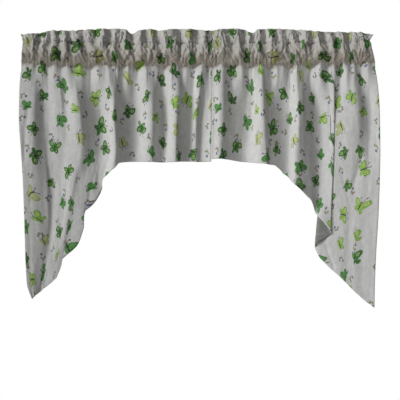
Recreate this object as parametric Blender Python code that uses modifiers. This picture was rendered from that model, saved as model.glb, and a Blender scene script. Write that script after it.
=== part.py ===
"""Window swag: a pair of gathered cotton swag panels for one curtain rod.

Each panel is one cut of printed cotton, level along its short inner part and
cut on the slant down to a long outer tip.  Its top is turned over to the back
and stitched twice, which makes a ruffle and, under it, a pocket for the rod.
The heading (ruffle and pocket) and the hanging drop are modelled as separate
solids with a hairline gap at the lower seam.

Frame: metres, +X to the right as seen from the room, +Z up, and the room is
on the -Y side.  The origin is the middle of the top edge.

The folds are laid out on a drawing with one unit = 3.283 mm (the long side of
the drop, 36 in, is 278.5 units).  Drawing x runs to the right and its middle
is 199; drawing y runs down and its top edge is 28.5.  "out" is how far a fold
stands towards the room, in millimetres, from the plane through the rod.
"""

import math

import bmesh
import bpy

# ---------------------------------------------------------------- main sizes
LONG_DROP = 0.9144                 # 36 in, ruffle to outer tip
UNIT = LONG_DROP / 278.5           # metres for one unit of the drawing
MID_X = 199.0                      # drawing x of the middle
TOP_Y = 28.5                       # drawing y of the top edge

SHEET = 0.0013                     # cotton with its turned hems
SEAM_GAP = 0.0005                  # between heading and drop
POCKET_HALF = 0.0135               # pocket wall from the rod's plane, inside
POCKET_GATHER = 0.0150             # how far the gathers stand off the pocket
SEAM_GATHER = 0.0085               # gathers at the two stitched lines
RUFFLE_GATHER = 0.0115             # gathers of the ruffle's free edge
GATHER_FADE = (66.0, 108.0)        # drawing y where gathers turn into folds
DROP_ROWS = 11                     # rows of faces down each drop
ROW_POWER = 1.25                   # rows lie closer together at the top

COLLECTION = "window_swag"

# ------------------------------------------------- outlines of the headings
# Top edge of the ruffle: x, y
RUFFLE_TOP = (
    (21.0, 34.7), (30.0, 33.8), (42.0, 32.6), (54.0, 30.4), (66.0, 30.8),
    (96.0, 29.2), (120.0, 28.5), (126.0, 30.0), (132.0, 33.8), (138.0, 30.8),
    (150.0, 29.2), (162.0, 30.6), (174.0, 29.0), (192.0, 29.2), (210.0, 30.8),
    (228.0, 28.5), (243.0, 29.4), (252.0, 33.2), (259.0, 29.0), (276.0, 29.0),
    (300.0, 30.0), (330.0, 32.0), (354.0, 32.2), (373.0, 34.5),
)
# Upper stitched line (under the ruffle) and lower one (under the pocket): x, y
STITCH_TOP = ((21.0, 40.4), (60.0, 42.2), (120.0, 43.0), (280.0, 43.0),
              (335.0, 42.2), (373.0, 40.4))
STITCH_LOW = ((21.0, 62.4), (60.0, 64.6), (110.0, 66.0), (290.0, 65.8),
              (340.0, 64.2), (373.0, 62.4))

# Gathers along the pocket: drawing x of each ridge and of the valley after it
LEFT_GATHERS = (
    (26, 35), (40, 46), (52, 58), (63, 69), (75, 84), (93, 104), (111, 118),
    (125, 131), (139, 145), (150, 159), (171, 177), (184, 191), (199, 206),
)
RIGHT_GATHERS = (
    (219, 228), (237, 247), (255, 262), (269, 274), (280, 286), (295, 307),
    (318, 325), (332, 337), (342, 347), (352, 358), (364, 369.5),
)

# ------------------------------------------------------ fold tables of drops
# One row for each line of a fold, from left to right along the cloth.
#   way : how the cloth runs there, seen from above.  "R" is a ridge or a
#         valley, where it runs to the right; "B" runs back to the left, as
#         the hidden layer of a pleat does; "T" turns away from the room, "F"
#         turns towards it, and "S" is a point on a plain slope.
#   hem : drawing y where this line meets the hem.
#   x   : drawing x at the heights X_AT.  A line that ends early has fewer.
#   out : millimetres towards the room at the heights OUT_AT.
LEFT_X_AT = (66, 90, 120, 150, 180, 215, 255, 284, 299)
RIGHT_X_AT = (66, 90, 120, 150, 180, 215, 255, 285, 307)
OUT_AT = (66, 120, 180, 255)
LEFT_DEPTH = 1.0                   # scales "out" so that both cuts measure
RIGHT_DEPTH = 1.12                 # about 36 in across when laid flat

LEFT_FOLDS = (
    # name        way   hem     x at heights                                               out at heights
    ("edge",      "R", 299.3, (21.3, 19.3, 19.0, 21.0, 22.8, 24.2, 25.4, 27.0, 32.0), (8, 9, 8, 6)),
    ("ridge_a",   "R", 297.2, (31.0, 33.0, 33.0, 32.0, 31.0, 31.0, 31.0, 31.5, 34.2), (8, 10, 6, 3)),
    ("valley_a",  "S", 294.2, (39.5, 42.6, 42.6, 43.6, 46.4, 47.6, 42.6, 39.2, 36.4), (-8, -10, -8, -6)),
    ("turn_a",    "S", 292.3, (43.5, 46.2, 46.2, 47.4, 49.8, 51.4, 46.4, 41.2, 38.4), (-6, -10, -16, -11)),
    ("ridge_b",   "R", 289.0, (52.0, 58.5, 60.0, 60.0, 60.0, 58.4, 51.4, 43.6, 41.5), (4, 0, -12, -10)),
    ("dip_b",     "S", 285.0, (59.5, 64.5, 65.5, 65.0, 65.0, 62.6, 55.0, 48.2), (-3, -1, -8, -9)),
    ("ridge_c",   "R", 278.0, (68.0, 75.5, 80.0, 81.0, 74.3, 69.0, 59.6, 55.5), (10, 18, 1, -8)),
    ("turn_c",    "S", 271.0, (73.0, 79.0, 83.4, 85.4, 77.4, 71.6, 62.0, 57.0), (2, 12, -0.6, -9)),
    ("valley_c",  "S", 259.0, (83.0, 86.0, 88.5, 90.0, 81.8, 74.6, 62.2), (-12, -4, -3, -10)),
    ("ridge_d",   "S", 245.6, (87.0, 90.0, 92.5, 94.0, 86.0, 80.4, 76.4), (-10, -15, -4, -9)),
    ("turn_d",    "S", 227.5, (90.0, 93.5, 96.0, 97.0, 90.0, 83.8, 84.0), (-8, -22, -6, -8)),
    ("valley_d",  "R", 210.5, (94.0, 97.0, 99.5, 99.8, 93.8, 84.2), (-4, -24, -9, -8)),
    ("ridge_e",   "S", 193.4, (98.0, 101.0, 103.5, 102.8, 97.6, 109.5), (4, -18, -11, -10)),
    ("turn_e",    "S", 187.3, (102.0, 104.5, 107.0, 106.0, 100.6, 120.0), (10, -9, -10, -8)),
    ("dip_e",     "S", 177.6, (105.5, 108.5, 110.5, 110.0, 103.6), (14, 3, -7, -6)),
    ("ridge_f",   "R", 168.6, (111.0, 113.2, 114.4, 116.0, 112.6), (16, 21, 18, 18)),
    ("turn_f",    "S", 163.6, (115.0, 116.8, 117.2, 118.6, 118.2), (4, 8, 6, 6)),
    ("valley_f",  "R", 161.8, (124.0, 133.0, 133.5, 132.0), (-14, -24, -22, -22)),
    ("ridge_g",   "R", 162.0, (148.0, 151.0, 152.0, 151.0), (14, 17, 9, 9)),
    ("valley_g",  "R", 162.4, (161.0, 162.5, 162.5, 161.5), (-12, -20, -12, -12)),
    ("ridge_h",   "R", 162.2, (175.0, 177.5, 176.0, 175.5), (14, 20, 21, 21)),
    ("turn_h",    "S", 161.8, (180.0, 181.5, 179.4, 178.6), (2, 8, 8, 8)),
    ("valley_h",  "R", 161.6, (192.5, 192.0, 190.0, 187.5), (-12, -20, -20, -20)),
    ("ridge_i",   "R", 161.8, (200.0, 199.0, 196.0, 195.5), (10, 4, -4, -6)),
    ("valley_i",  "R", 162.0, (206.0, 203.0, 199.5, 199.0), (-8, -12, -14, -14)),
    ("ridge_j",   "S", 161.8, (209.5, 208.5, 207.0, 206.5), (-4, -5, -6, -6)),
    ("inner",     "R", 161.7, (212.08, 212.08, 211.65, 211.2), (-4, 2, 3, 3)),
)

RIGHT_FOLDS = (
    ("inner",     "R", 159.2, (212.25, 212.25, 211.82, 211.4), (-4, 2, 3, 3)),
    ("ridge_a",   "R", 158.8, (219.0, 221.0, 221.5, 220.0), (12, 14, 14, 14)),
    ("valley_a",  "S", 159.4, (228.0, 230.0, 230.0, 227.0), (-2, -4, -4, -6)),
    ("rise_a",    "S", 160.6, (237.0, 239.5, 239.0, 234.0), (-6, -15, -17, -18)),
    ("valley_b",  "R", 161.8, (247.0, 249.5, 248.5, 241.5), (-12, -23, -25, -25)),
    ("ridge_b",   "R", 163.8, (260.5, 262.0, 263.5, 265.0), (14, 20, 21, 21)),
    ("turn_b",    "S", 164.5, (263.5, 265.5, 267.0, 268.5), (4, 6, 8, 8)),
    ("valley_c",  "S", 165.2, (272.0, 273.5, 275.0, 275.0), (-6, -12, -14, -16)),
    ("rise_c",    "S", 168.0, (279.0, 280.0, 281.0, 278.8), (-9, -20, -24, -24)),
    ("valley_d",  "R", 173.9, (288.0, 287.0, 286.5, 284.5, 283.5), (-10, -22, -26, -16)),
    ("ridge_d",   "R", 185.5, (298.5, 299.0, 299.5, 297.0, 296.0), (14, 20, 19, 14)),
    ("slope_d",   "S", 199.8, (304.5, 306.0, 307.5, 308.0, 309.5, 312.2), (1, 2, 2, 2)),
    ("valley_e",  "R", 214.5, (311.0, 314.0, 318.0, 319.3, 318.2, 316.6), (-12, -18, -15.5, 12)),
    ("slope_e",   "S", 219.5, (315.0, 319.5, 324.5, 325.2, 323.8, 321.0), (-4, -7, -5, 14)),
    ("ridge_e",   "R", 226.5, (319.5, 326.0, 330.0, 330.0, 329.1, 327.0, 326.3), (6, 6, 3, 11)),
    ("turn_e",    "T", 233.3, (328.5, 334.6, 334.6, 334.0, 332.8, 331.3, 331.0), (8, 7, 3.5, 8)),
    ("layer_e",   "B", 239.5, (331.5, 331.5, 331.1, 330.7, 330.1, 325.5, 324.0), (-2, -0.5, -3.8, -1)),
    ("turn_f",    "T", 246.5, (334.0, 328.5, 327.2, 326.8, 325.8, 317.8, 314.5), (-6, -6.5, -11, -11)),
    ("facet_f",   "R", 257.6, (337.0, 332.0, 331.0, 330.5, 329.8, 323.5, 319.6), (-9, -11, -15, -14)),
    ("valley_f",  "S", 270.0, (341.0, 339.5, 338.0, 337.0, 336.0, 333.0, 330.5, 333.6), (-8, -2, -8, -8)),
    ("ridge_g",   "R", 283.0, (351.0, 355.5, 356.0, 355.0, 352.0, 349.0, 347.0, 346.0), (11, 18, 4, 2)),
    ("valley_g",  "R", 293.8, (360.5, 367.5, 369.5, 367.5, 364.0, 360.0, 357.0, 356.8), (-11, 2, 10, 7)),
    ("ridge_h",   "S", 303.8, (370.0, 374.5, 375.5, 375.5, 374.5, 373.0, 370.5, 369.5), (8, 8, 16, 12)),
    ("edge",      "R", 307.6, (375.0, 378.2, 379.6, 379.8, 379.2, 378.0, 375.6, 374.4, 374.0), (10, 13, 18, 15)),
)

PANELS = (
    {"name": "left", "side": -1, "rows": LEFT_FOLDS, "x_at": LEFT_X_AT,
     "depth": LEFT_DEPTH, "gathers": LEFT_GATHERS, "pinch": (1.7, -0.6)},
    {"name": "right", "side": 1, "rows": RIGHT_FOLDS, "x_at": RIGHT_X_AT,
     "depth": RIGHT_DEPTH, "gathers": RIGHT_GATHERS, "pinch": (5.6, 1.6)},
)
# pinch: how far the outer end is drawn in at the upper stitched line and at
# the ruffle's free edge, in drawing units

WAYS = {"R": (1.0, 0.0), "B": (-1.0, 0.0), "T": (0.0, -1.0), "F": (0.0, 1.0)}


# ------------------------------------------------------------------- helpers
def wx(x):
    """World X in metres of a drawing x."""
    return (x - MID_X) * UNIT


def wz(y):
    """World Z in metres of a drawing y."""
    return (TOP_Y - y) * UNIT


def smooth(t):
    t = min(1.0, max(0.0, t))
    return t * t * (3.0 - 2.0 * t)


def along(stations, values, s):
    """Monotone cubic through (station, value) pairs, held past both ends."""
    n = min(len(stations), len(values))
    if s <= stations[0]:
        return float(values[0])
    if s >= stations[n - 1]:
        return float(values[n - 1])
    gaps = [stations[i + 1] - stations[i] for i in range(n - 1)]
    rises = [(values[i + 1] - values[i]) / gaps[i] for i in range(n - 1)]
    slopes = [rises[0]]
    for i in range(1, n - 1):
        a, b = rises[i - 1], rises[i]
        slopes.append(0.0 if a * b <= 0.0 else 2.0 * a * b / (a + b))
    slopes.append(rises[-1])
    i = 0
    while s > stations[i + 1]:
        i += 1
    h, t = gaps[i], (s - stations[i]) / gaps[i]
    return (values[i] * (1 + 2 * t) * (1 - t) ** 2 + slopes[i] * h * t * (1 - t) ** 2
            + values[i + 1] * t * t * (3 - 2 * t) + slopes[i + 1] * h * t * t * (t - 1))


def outline(pairs, x):
    return along([p[0] for p in pairs], [p[1] for p in pairs], x)


def gather_wave(gathers, start, end, x):
    """-1 in a valley between two gathers, +1 on a ridge, 0 at the two ends."""
    knots = [(start, -0.2)]
    for ridge, valley in gathers:
        knots += [(ridge, 1.0), (valley, -1.0)]
    knots.append((end, 0.3))
    if x <= knots[0][0]:
        return knots[0][1]
    for (xa, ga), (xb, gb) in zip(knots, knots[1:]):
        if x <= xb:
            size = min(1.15, max(0.62, math.sqrt((xb - xa) / 8.0)))
            return size * (ga + (gb - ga) * smooth((x - xa) / (xb - xa)))
    return knots[-1][1]


def fold_line(panel, index, y):
    """Drawing x and out (in units) of one line of a fold at drawing height y."""
    row = panel["rows"][index]
    out = panel["depth"] * along(OUT_AT, row[4], y) / 1000.0 / UNIT
    return along(panel["x_at"], row[3], y), out


def fold_way(panel, index, y):
    """Unit direction of the cloth's section on one line of a fold."""
    way = panel["rows"][index][1]
    if way != "S":
        return WAYS[way]
    ax, ao = fold_line(panel, index - 1, y)
    bx, bo = fold_line(panel, index + 1, y)
    size = math.hypot(bx - ax, bo - ao)
    return (bx - ax) / size, (bo - ao) / size


def fold_point(panel, seg, t, y):
    """Point of the cloth's section at height y, a fraction t along a segment."""
    ax, ao = fold_line(panel, seg, y)
    bx, bo = fold_line(panel, seg + 1, y)
    chord = 1.06 * math.hypot(bx - ax, bo - ao)
    aw, bw = fold_way(panel, seg, y), fold_way(panel, seg + 1, y)
    h00, h10 = (1 + 2 * t) * (1 - t) ** 2, t * (1 - t) ** 2
    h01, h11 = t * t * (3 - 2 * t), t * t * (t - 1)
    return (h00 * ax + h10 * chord * aw[0] + h01 * bx + h11 * chord * bw[0],
            h00 * ao + h10 * chord * aw[1] + h01 * bo + h11 * chord * bw[1])


def columns_of(rows):
    """Where the grid's columns lie: (segment, fraction), finer on wide folds."""
    cols = []
    for seg in range(len(rows) - 1):
        wide = rows[seg + 1][3][0] - rows[seg][3][0]
        pieces = 2 if wide < 9.5 else 3 if wide < 13.5 else 5
        cols += [(seg, k / pieces) for k in range(pieces)]
    cols.append((len(rows) - 2, 1.0))
    return cols


def hem_of(rows, seg, t):
    hems = [row[2] for row in rows]
    return along(list(range(len(rows))), hems, seg + t)


def top_x(rows, seg, t):
    """Drawing x on the seam line, where the cloth runs steadily to the right."""
    a, b = rows[seg][3][0], rows[seg + 1][3][0]
    return a + (b - a) * t


# -------------------------------------------------------------------- pieces
def new_material(name, colour, roughness):
    mat = bpy.data.materials.new(name)
    mat.use_nodes = True
    shader = mat.node_tree.nodes["Principled BSDF"]
    shader.inputs["Base Color"].default_value = (*colour, 1.0)
    shader.inputs["Roughness"].default_value = roughness
    shader.inputs["Metallic"].default_value = 0.0
    return mat


def new_object(name, verts, faces, mat, collection):
    mesh = bpy.data.meshes.new(name)
    mesh.from_pydata(verts, [], faces)
    mesh.materials.append(mat)
    mesh.validate()
    mesh.update()
    obj = bpy.data.objects.new(name, mesh)
    collection.objects.link(obj)
    return obj


def build_drop(name, panel, mat, collection):
    """The hanging cloth of one panel: an open sheet given its thickness."""
    rows, gathers = panel["rows"], panel["gathers"]
    start, end = rows[0][3][0], rows[-1][3][0]
    cols = columns_of(rows)
    verts, faces = [], []
    for seg, t in cols:
        seam_x = top_x(rows, seg, t)
        wave = gather_wave(gathers, start, end, seam_x)
        y_top = outline(STITCH_LOW, seam_x)
        y_hem = hem_of(rows, seg, t)
        for k in range(DROP_ROWS + 1):
            y = y_top + (y_hem - y_top) * (k / DROP_ROWS) ** ROW_POWER
            x, out = fold_point(panel, seg, t, y)
            fold = smooth((y - GATHER_FADE[0]) / (GATHER_FADE[1] - GATHER_FADE[0]))
            x = seam_x + (x - seam_x) * smooth((y - y_top) / 12.0)
            out = out * UNIT * fold + SEAM_GATHER * wave * (1.0 - fold)
            z = wz(y) - (SEAM_GAP if k == 0 else 0.0)
            verts.append((wx(x), -out, z))
    n = DROP_ROWS + 1
    for c in range(len(cols) - 1):
        for k in range(DROP_ROWS):
            a = c * n + k
            faces.append((a, a + 1, a + 1 + n, a + n))
    obj = new_object(name, verts, faces, mat, collection)
    shell = obj.modifiers.new("cloth", "SOLIDIFY")
    shell.thickness = SHEET
    shell.offset = 0.0
    return obj


def heading_rings(seam_x, start, end, gathers):
    """Outer and inner ring of the heading's section, as (out, z, inset)."""
    wave = gather_wave(gathers, start, end, seam_x)
    back = gather_wave(gathers, start, end, min(end, max(start, seam_x + 5.0)))
    z_low = wz(outline(STITCH_LOW, seam_x))
    z_up = wz(outline(STITCH_TOP, seam_x))
    z_top = wz(outline(RUFFLE_TOP, seam_x))
    tall = z_up - z_low
    z_a, z_b = z_low + 0.22 * tall, z_low + 0.78 * tall
    front = POCKET_HALF + POCKET_GATHER * (0.5 + 0.43 * wave)
    rear = POCKET_HALF + 0.7 * POCKET_GATHER * (0.5 - 0.43 * back)
    low, up, top = SEAM_GATHER * wave, 0.8 * SEAM_GATHER * wave, RUFFLE_GATHER * wave
    t = SHEET
    outer = [(low + t, z_low), (front + t, z_a), (front + t, z_b), (up + t, z_up),
             (top + t, z_top), (top - t, z_top), (up - t, z_up), (-rear - t, z_b),
             (-rear - t, z_a), (low - t, z_low)]
    inner = [(low, z_low + 2.2 * t), (front, z_a), (front, z_b), (up, z_up - 2.2 * t),
             (-rear, z_b), (-rear, z_a)]
    return outer, inner


# how the end faces join the outer ring's points to the inner ring's
END_LINKS = ((0, 0), (1, 1), (2, 2), (3, 3), (6, 3), (7, 4), (8, 5), (9, 0))


def build_heading(name, panel, mat, collection):
    """Ruffle and rod pocket of one panel: a tube with a fin along its top."""
    rows, gathers, outer_side = panel["rows"], panel["gathers"], panel["side"]
    at_stitch, at_top = panel["pinch"]
    start, end = rows[0][3][0], rows[-1][3][0]
    cols = columns_of(rows)
    verts, faces = [], []
    rings = []
    for seg, t in cols:
        seam_x = top_x(rows, seg, t)
        outer, inner = heading_rings(seam_x, start, end, gathers)
        # the outer end is pinched in a little where the two lines are stitched
        edge = start if outer_side < 0 else end
        near = max(0.0, 1.0 - abs(seam_x - edge) / 14.0)
        z_low, z_up, z_top = outer[0][1], outer[3][1], outer[4][1]
        ring_ids = []
        for out, z in outer + inner:
            if z >= z_up:
                pinch = at_stitch + (at_top - at_stitch) * (z - z_up) / (z_top - z_up)
            else:
                pinch = at_stitch * (z - z_low) / (z_up - z_low)
            ring_ids.append(len(verts))
            verts.append((wx(seam_x - outer_side * pinch * near), -out, z))
        rings.append(ring_ids)
    n_out, n_in = 10, 6
    for a, b in zip(rings, rings[1:]):
        for k in range(n_out):
            m = (k + 1) % n_out
            faces.append((a[k], a[m], b[m], b[k]))
        for k in range(n_in):
            m = (k + 1) % n_in
            faces.append((a[n_out + k], b[n_out + k], b[n_out + m], a[n_out + m]))
    for ring, flip in ((rings[0], False), (rings[-1], True)):
        caps = []
        for (o1, i1), (o2, i2) in zip(END_LINKS, END_LINKS[1:]):
            loop = [ring[o1], ring[n_out + i1]]
            if i2 != i1:
                loop.append(ring[n_out + i2])
            loop.append(ring[o2])
            caps.append(loop)
        # the bottom seam and the fin above the pocket
        caps.append([ring[9], ring[n_out + 0], ring[0]])
        caps.append([ring[3], ring[6], ring[5], ring[4]])
        # the link between outer points 3 and 6 runs through inner point 3
        caps[3] = [ring[3], ring[n_out + 3], ring[6]]
        for loop in caps:
            faces.append(tuple(reversed(loop)) if flip else tuple(loop))
    return new_object(name, verts, faces, mat, collection)


def make_faces_point_out(obj):
    bm = bmesh.new()
    bm.from_mesh(obj.data)
    bmesh.ops.recalc_face_normals(bm, faces=bm.faces[:])
    bm.to_mesh(obj.data)
    bm.free()


def main():
    for obj in list(bpy.data.objects):
        bpy.data.objects.remove(obj, do_unlink=True)
    collection = bpy.data.collections.new(COLLECTION)
    bpy.context.scene.collection.children.link(collection)

    cotton = (0.56, 0.56, 0.55)
    for panel in PANELS:
        for build, part in ((build_drop, "panel"), (build_heading, "heading")):
            name = panel["name"] + "_" + part
            obj = build(name, panel, new_material(name + "_cotton", cotton, 0.9), collection)
            if part == "heading":
                make_faces_point_out(obj)


main()
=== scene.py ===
"""Looks of the window swag: two gathered panels of printed cotton.

Each panel is one continuous cloth.  It starts at the raw edge behind the lower
stitched line, runs up the back of the rod pocket and of the ruffle, over the
top, down the front of both, and on through the lower stitched line into the
hanging drop, down to its narrow turned hem.

Drawing units: x to the right and y down, one unit = 3.283 mm, y 28.5 at the
top edge and x 199 in the middle.  "out" is the distance towards the room.
"""
import math

import bpy
import numpy as np
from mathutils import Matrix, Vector, noise


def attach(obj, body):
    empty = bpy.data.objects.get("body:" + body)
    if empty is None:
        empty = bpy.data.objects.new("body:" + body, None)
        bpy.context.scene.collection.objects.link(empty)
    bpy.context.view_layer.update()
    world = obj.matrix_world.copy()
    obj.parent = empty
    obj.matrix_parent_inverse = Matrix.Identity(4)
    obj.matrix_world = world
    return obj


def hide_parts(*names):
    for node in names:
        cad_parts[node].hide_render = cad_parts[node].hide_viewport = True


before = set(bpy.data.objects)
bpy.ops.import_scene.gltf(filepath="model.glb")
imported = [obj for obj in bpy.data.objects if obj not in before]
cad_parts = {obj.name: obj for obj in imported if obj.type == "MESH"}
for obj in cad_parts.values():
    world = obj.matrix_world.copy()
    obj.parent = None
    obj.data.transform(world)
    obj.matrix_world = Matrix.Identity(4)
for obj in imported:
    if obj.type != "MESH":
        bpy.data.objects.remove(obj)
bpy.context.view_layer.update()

# ---------------------------------------------------------------- main sizes
LONG_DROP = 0.9144
UNIT = LONG_DROP / 278.5
MID_X = 199.0
TOP_Y = 28.5
CUT_WIDTH = 0.914                  # each panel is cut from 36 in of cloth

POCKET_HALF = 0.0135
POCKET_GATHER = 0.0150
SEAM_GATHER = 0.0085
RUFFLE_GATHER = 0.0095
GATHER_FADE = (66.0, 108.0)

CLOTH = 0.0006                     # one layer of the cotton
HEM = 0.0015                       # three layers, at the turned hems
HEM_WIDE = 0.011                   # width of the turned hems
COLUMNS = 300                      # grid of each panel, across
ROWS = {"tail": 3, "pocket_back": 13, "ruffle_back": 9, "top": 4,
        "ruffle": 17, "pocket": 34, "drop": 72}
HEM_STEPS = (0.0145, 0.0120, 0.0108, 0.0085, 0.0035, 0.0)

RUFFLE_TOP = (
    (21.0, 34.7), (30.0, 33.8), (42.0, 32.6), (54.0, 30.4), (66.0, 30.8),
    (96.0, 29.2), (120.0, 28.5), (126.0, 30.0), (132.0, 33.8), (138.0, 30.8),
    (150.0, 29.2), (162.0, 30.6), (174.0, 29.0), (192.0, 29.2), (210.0, 30.8),
    (228.0, 28.5), (243.0, 29.4), (252.0, 33.2), (259.0, 29.0), (276.0, 29.0),
    (300.0, 30.0), (330.0, 32.0), (354.0, 32.2), (373.0, 34.5),
)
STITCH_TOP = ((21.0, 40.4), (60.0, 42.2), (120.0, 43.0), (280.0, 43.0),
              (335.0, 42.2), (373.0, 40.4))
STITCH_LOW = ((21.0, 62.4), (60.0, 64.6), (110.0, 66.0), (290.0, 65.8),
              (340.0, 64.2), (373.0, 62.4))

# ------------------------------------------------- pleats of the two headings
# One row for each ridge or valley of the gathered heading:
#   x : drawing x at the heights PLEAT_Y (ruffle, upper stitch, pocket's top and
#       bottom, lower stitch, top of the drop)
#   level : +1 on a ridge, -1 in a valley, at ruffle, pocket and drop (LEVEL_Y)
CREST_SHIFT = 0.42
PLEAT_Y = (34.0, 43.0, 48.0, 57.0, 63.0, 70.0)
LEVEL_Y = (36.0, 51.0, 72.0)
LEFT_PLEATS = (
    ((21.5, 21.5, 21.4, 21.2, 21.0, 20.8), (0.0, -0.2, -0.2)),
    ((29.5, 31.0, 31.0, 29.0, 28.0, 28.0), (0.8, 0.6, -0.1)),
    ((38.5, 38.0, 37.0, 36.0, 35.0, 35.5), (-0.9, -0.8, -0.5)),
    ((44.0, 43.0, 41.0, 40.0, 39.0, 39.0), (0.6, 0.5, -0.3)),
    ((49.0, 47.5, 47.0, 46.0, 46.0, 45.5), (-0.3, -0.9, -1.1)),
    ((52.0, 53.0, 52.0, 52.0, 51.0, 51.0), (0.3, 0.8, -0.2)),
    ((56.5, 57.0, 57.5, 59.0, 59.0, 59.0), (-1.0, -1.0, -0.8)),
    ((62.0, 62.0, 63.0, 64.0, 65.0, 66.0), (0.9, 0.8, -0.1)),
    ((67.5, 68.0, 68.0, 69.0, 70.0, 70.5), (-0.5, -0.9, -0.6)),
    ((74.0, 74.0, 75.0, 76.0, 77.0, 77.5), (0.5, 0.8, -0.1)),
    ((79.5, 82.0, 84.5, 85.0, 85.5, 86.0), (-0.2, -1.0, -1.1)),
    ((86.0, 88.5, 90.5, 93.0, 95.0, 97.0), (0.6, 0.6, 0.8)),
    ((93.0, 92.0, 95.0, 97.0, 100.5, 102.5), (-0.4, 0.2, 0.55)),
    ((100.5, 99.0, 99.5, 102.0, 104.0, 108.0), (1.0, 0.9, 1.0)),
    ((109.0, 108.0, 106.5, 107.0, 108.0, 112.5), (-0.9, -0.4, 0.3)),
    ((113.5, 112.0, 111.0, 112.0, 113.5, 115.0), (0.4, 0.6, 0.35)),
    ((119.0, 117.0, 117.5, 119.0, 120.0, 120.0), (-0.1, -1.0, -1.0)),
    ((123.0, 123.0, 124.0, 125.0, 125.0, 125.0), (0.4, 0.6, 0.2)),
    ((128.5, 129.0, 130.0, 131.0, 132.0, 132.0), (-1.0, -1.0, -1.0)),
    ((137.5, 137.0, 138.0, 141.0, 143.0, 145.0), (0.9, 0.9, 1.0)),
    ((145.0, 145.0, 145.0, 147.0, 148.5, 150.0), (-0.5, 0.0, 0.5)),
    ((150.0, 149.5, 150.0, 151.0, 152.0, 153.5), (0.5, 0.6, 0.3)),
    ((154.0, 154.5, 155.0, 159.0, 159.0, 159.0), (-1.0, -1.0, -1.0)),
    ((160.5, 163.0, 164.0, 167.0, 169.0, 170.0), (0.9, 0.9, 1.0)),
    ((169.0, 170.5, 171.5, 173.0, 174.0, 175.0), (0.5, 0.6, 0.6)),
    ((179.0, 179.0, 179.0, 178.5, 179.5, 180.5), (-1.0, -1.0, -0.5)),
    ((184.0, 184.0, 183.0, 183.0, 183.5, 184.0), (0.7, 0.5, 0.0)),
    ((195.0, 194.5, 192.0, 191.0, 190.5, 190.5), (-0.9, -1.0, -0.9)),
    ((203.0, 201.0, 200.0, 198.5, 197.5, 197.5), (0.9, 0.9, 0.9)),
    ((209.0, 208.5, 208.0, 207.5, 207.5, 207.0), (-0.3, -0.5, -0.6)),
    ((212.5, 212.5, 212.5, 212.5, 212.5, 212.5), (-0.4, -0.5, -0.3)),
)
RIGHT_PLEATS = (
    ((212.0, 212.0, 212.0, 212.0, 212.0, 212.0), (-0.4, -0.5, -0.3)),
    ((219.5, 219.0, 218.5, 219.0, 218.5, 218.0), (0.7, 0.9, 0.9)),
    ((225.0, 230.0, 230.0, 228.0, 227.0, 228.0), (-0.5, -1.0, -0.9)),
    ((232.0, 236.0, 237.0, 237.0, 237.0, 238.0), (0.6, 0.9, 0.5)),
    ((244.0, 243.0, 244.0, 247.5, 248.0, 248.0), (-1.0, -0.9, -1.0)),
    ((249.5, 247.5, 247.5, 250.0, 251.0, 251.5), (0.3, -0.3, -0.7)),
    ((253.0, 252.0, 251.5, 252.5, 253.0, 253.5), (-0.3, -0.6, 0.2)),
    ((257.0, 256.0, 256.0, 256.0, 256.0, 256.0), (0.4, 0.8, 0.9)),
    ((262.0, 262.5, 262.0, 263.0, 266.0, 268.0), (-0.9, -1.0, -0.9)),
    ((270.0, 270.0, 271.0, 272.5, 274.0, 277.0), (0.9, 1.0, 0.5)),
    ((275.0, 275.0, 275.0, 276.0, 276.5, 279.0), (-0.1, 0.2, 0.4)),
    ((279.5, 280.0, 279.0, 279.0, 279.0, 281.0), (0.3, 0.7, 0.3)),
    ((284.5, 286.0, 286.0, 285.5, 286.0, 286.0), (-0.6, -1.0, -1.0)),
    ((288.5, 293.0, 294.0, 295.5, 296.0, 295.5), (0.5, 0.8, 1.0)),
    ((295.5, 297.0, 298.0, 299.0, 300.0, 300.0), (-0.8, 0.3, 0.4)),
    ((303.0, 302.0, 301.0, 302.0, 303.0, 302.0), (1.0, 0.7, -0.3)),
    ((311.0, 308.0, 307.0, 308.0, 308.0, 305.0), (-0.5, -1.0, -1.0)),
    ((314.5, 317.0, 318.0, 318.0, 317.5, 317.0), (0.8, 1.0, 1.0)),
    ((321.0, 324.0, 326.5, 325.5, 325.0, 326.0), (-0.8, -0.9, -0.5)),
    ((329.0, 330.0, 331.0, 332.0, 332.0, 332.0), (0.5, 0.8, 0.5)),
    ((333.5, 335.0, 336.0, 336.0, 336.0, 336.5), (-0.3, -1.0, -1.0)),
    ((338.0, 339.5, 341.0, 341.0, 342.0, 345.0), (0.5, 0.8, 0.8)),
    ((346.0, 347.0, 347.5, 348.5, 349.0, 350.0), (-1.0, -1.0, 0.2)),
    ((353.5, 353.0, 353.0, 351.5, 351.0, 352.5), (0.7, 0.6, 0.3)),
    ((357.0, 358.0, 356.5, 356.0, 355.5, 356.0), (0.4, -0.2, -1.0)),
    ((361.0, 362.0, 363.0, 365.0, 366.0, 367.0), (0.9, 1.0, 0.7)),
    ((366.0, 366.5, 367.5, 369.5, 370.5, 371.0), (0.2, 0.1, 0.3)),
    ((374.0, 374.5, 375.0, 375.0, 375.0, 375.5), (0.1, 0.3, 0.2)),
)

# ------------------------------------------------------ fold tables of drops
# way: R runs to the right, B back to the left, T turns away from the room, F
# towards it, S is a plain slope.  hem: drawing y at the hem.  x at the heights
# X_AT, out in millimetres at the heights OUT_AT.
LEFT_X_AT = (66, 90, 120, 150, 180, 215, 255, 284, 299)
RIGHT_X_AT = (66, 90, 120, 150, 180, 215, 255, 285, 307)
OUT_AT = (66, 120, 180, 255)

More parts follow.
